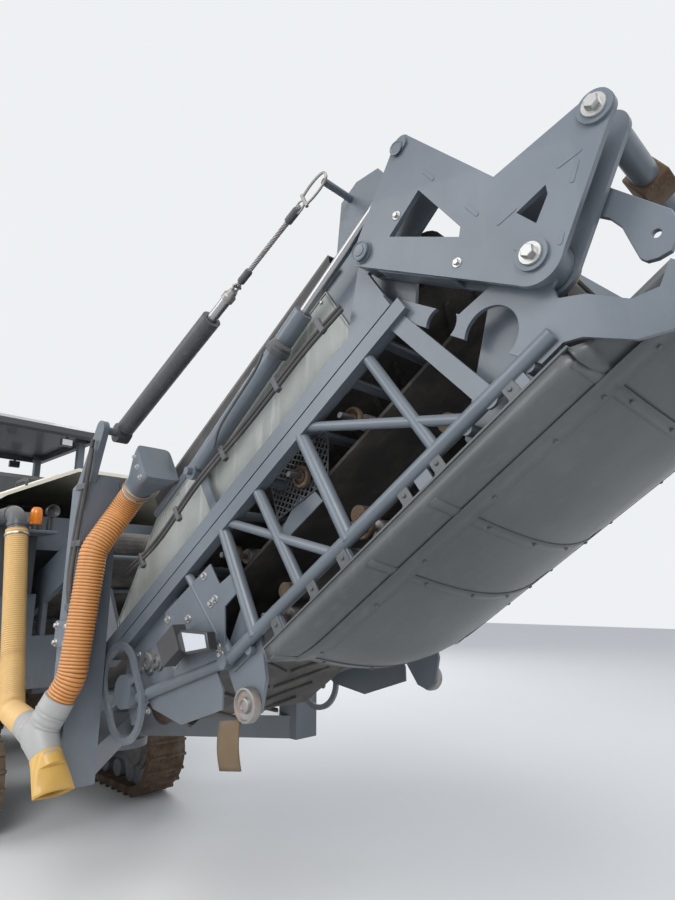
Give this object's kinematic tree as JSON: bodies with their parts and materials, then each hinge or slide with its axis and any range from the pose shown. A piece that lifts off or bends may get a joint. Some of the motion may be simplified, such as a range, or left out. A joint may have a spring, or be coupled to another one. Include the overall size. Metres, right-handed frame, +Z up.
{
  "type": "cold planer milling machine",
  "caption": "Cold planer on tracks: milling drum under the frame, canopied platform, rear engine, and a slewing front loading conveyor folded for transport.",
  "frame": {"origin": "on the ground under the middle of the machine as it stands with its conveyor folded", "axes": "+X to the front, where the conveyor is; +Y to the left; +Z up"},
  "size_m": [9.9844, 2.46, 3.3],
  "materials": {
    "frame_paint": "satin blue-grey machine enamel, dusty",
    "dark_paint": "matt anthracite enamel",
    "cream_paint": "satin cream enamel",
    "bright_steel": "worn bright steel",
    "worn_iron": "rusty, earth-stained",
    "black_rubber": "dusty black rubber",
    "canvas": "grey-green woven tarpaulin",
    "tan_hose": "tan corrugated hose",
    "orange_hose": "orange corrugated hose",
    "lamp_amber": "amber lens and black horn",
    "chrome_rod": "chromed rod and steel rope"
  },
  "bodies": {
    "chassis": {"main_frame": "frame_paint", "drum_housing": "frame_paint", "water_tank": "frame_paint", "conveyor_cover": "cream_paint", "front_pods": "dark_paint", "primary_conveyor": "frame_paint", "primary_belt": "black_rubber", "platform": "dark_paint", "console": "dark_paint", "seats": "black_rubber", "handrails": "frame_paint", "canopy_posts": "frame_paint", "canopy_roof": "dark_paint", "lamps": "lamp_amber", "ladders": "dark_paint", "engine_block": "dark_paint", "engine_bay": "frame_paint", "rear_grille": "dark_paint", "suction_pipe": "dark_paint", "hose_left": "tan_hose"},
    "hood": {"engine_hood": "frame_paint", "exhaust": "worn_iron"},
    "leg_fl": {"leg_front_left": "frame_paint", "track_front_left": "worn_iron"},
    "leg_fr": {"leg_front_right": "frame_paint", "track_front_right": "worn_iron"},
    "leg_rl": {"leg_rear_left": "frame_paint", "track_rear_left": "worn_iron"},
    "leg_rr": {"leg_rear_right": "frame_paint", "track_rear_right": "worn_iron"},
    "drum": {"milling_drum": "worn_iron"},
    "side_plate_l": {"side_plate_left": "dark_paint"},
    "side_plate_r": {"side_plate_right": "dark_paint"},
    "scraper_door": {"scraper": "dark_paint"},
    "yoke": {"slew_yoke": "frame_paint", "hose_junction": "black_rubber"},
    "lift_barrel_pair": {"lift_barrels": "dark_paint"},
    "lift_rod_pair": {"lift_rods": "chrome_rod"},
    "rear_conveyor": {"rear_frame": "frame_paint", "rear_tarps": "canvas", "belt_cover": "black_rubber", "rear_belt": "black_rubber", "rear_rollers": "bright_steel", "tail_hopper": "frame_paint", "suction_box": "frame_paint", "hose_right": "orange_hose"},
    "fold_barrel_pair": {"fold_barrels": "dark_paint"},
    "fold_rod_pair": {"fold_rods": "chrome_rod"},
    "lever_set": {"fold_levers": "frame_paint"},
    "front_conveyor": {"front_truss": "frame_paint", "dust_hood": "dark_paint", "front_belt": "black_rubber", "front_rollers": "bright_steel", "head_guards": "frame_paint", "work_lamp": "dark_paint"},
    "wheel_pair": {"support_wheels": "bright_steel"}
  },
  "joints": [
    {"name": "steer_front_left", "type": "hinge", "parent": "chassis", "child": "leg_fl", "pos_m": [0.06, 0.65, 0.5], "axis": [0, 0, 1], "range_deg": [-15, 15]},
    {"name": "steer_front_right", "type": "hinge", "parent": "chassis", "child": "leg_fr", "pos_m": [0.06, -0.65, 0.5], "axis": [0, 0, 1], "range_deg": [-15, 15]},
    {"name": "steer_rear_left", "type": "hinge", "parent": "chassis", "child": "leg_rl", "pos_m": [-3.9, 0.95, 0.5], "axis": [0, 0, 1], "range_deg": [-15, 15]},
    {"name": "steer_rear_right", "type": "hinge", "parent": "chassis", "child": "leg_rr", "pos_m": [-3.9, -0.95, 0.5], "axis": [0, 0, 1], "range_deg": [-15, 15]},
    {"name": "drum_spin", "type": "hinge", "parent": "chassis", "child": "drum", "pos_m": [-1.9, 0, 0.62], "axis": [0, 1, 0], "continuous": true},
    {"name": "scraper_door", "type": "hinge", "parent": "chassis", "child": "scraper_door", "pos_m": [-2.525, 0, 1.13], "axis": [0, 1, 0], "range_deg": [0, 65]},
    {"name": "side_plate_left_lift", "type": "slide", "parent": "chassis", "child": "side_plate_l", "axis": [0, 0, 1], "range_m": [0, 0.3]},
    {"name": "side_plate_right_lift", "type": "slide", "parent": "chassis", "child": "side_plate_r", "axis": [0, 0, 1], "range_m": [0, 0.3]},
    {"name": "hood_tilt", "type": "hinge", "parent": "chassis", "child": "hood", "pos_m": [-2.93, 0, 2.34], "axis": [0, 1, 0], "range_deg": [0, 55]},
    {"name": "slew", "type": "hinge", "parent": "chassis", "child": "yoke", "pos_m": [1.25, 0, 0.9], "axis": [0, 0, 1], "range_deg": [-50, 50], "deforming": ["hose_left"]},
    {"name": "lift", "type": "hinge", "parent": "yoke", "child": "rear_conveyor", "pos_m": [2.0502, 0, 1.08], "axis": [0, -1, 0], "range_deg": [-22, 5], "deforming": ["hose_right"]},
    {"name": "lift_barrel_swing", "type": "hinge", "parent": "yoke", "child": "lift_barrel_pair", "pos_m": [2.32, 0, 2.3], "axis": [0, -1, 0], "range_deg": [-29, 6.6]},
    {"name": "lift_rod_slide", "type": "slide", "parent": "lift_barrel_pair", "child": "lift_rod_pair", "axis": [0.896, 0, 0.4441], "range_m": [-0.0947, 0.4163]},
    {"name": "fold", "type": "hinge", "parent": "lever_set", "child": "front_conveyor", "pos_m": [4.5761, 0, 2.3913], "axis": [0, -1, 0], "range_deg": [0, 68]},
    {"name": "fold_lever_swing", "type": "hinge", "parent": "rear_conveyor", "child": "lever_set", "pos_m": [3.957, 0, 2.66], "axis": [0, -1, 0], "range_deg": [0, 19.5]},
    {"name": "fold_barrel_swing", "type": "hinge", "parent": "rear_conveyor", "child": "fold_barrel_pair", "pos_m": [2.8704, 0, 2.0356], "axis": [0, -1, 0], "range_deg": [0, 4.1]},
    {"name": "fold_rod_slide", "type": "slide", "parent": "fold_barrel_pair", "child": "fold_rod_pair", "axis": [0.7972, 0, 0.6037], "range_m": [-0.0663, 0]},
    {"name": "support_wheel_spin", "type": "hinge", "parent": "front_conveyor", "child": "wheel_pair", "pos_m": [3.312, 0, 1.0947], "axis": [0, 1, 0], "continuous": true}
  ],
  "couplings": [
    {"joint": "steer_front_right", "follows": "steer_front_left", "ratio": 1},
    {"joint": "steer_rear_right", "follows": "steer_rear_left", "ratio": 1},
    {"joint": "lift_barrel_swing", "follows": "lift", "ratio": 1.3156},
    {"joint": "lift_rod_slide", "follows": "lift", "m_per_rad": -1.0833},
    {"joint": "fold_lever_swing", "follows": "fold", "ratio": 0.28571},
    {"joint": "fold_barrel_swing", "follows": "fold", "ratio": 0.05979},
    {"joint": "fold_rod_slide", "follows": "fold", "m_per_rad": -0.05575}
  ]
}
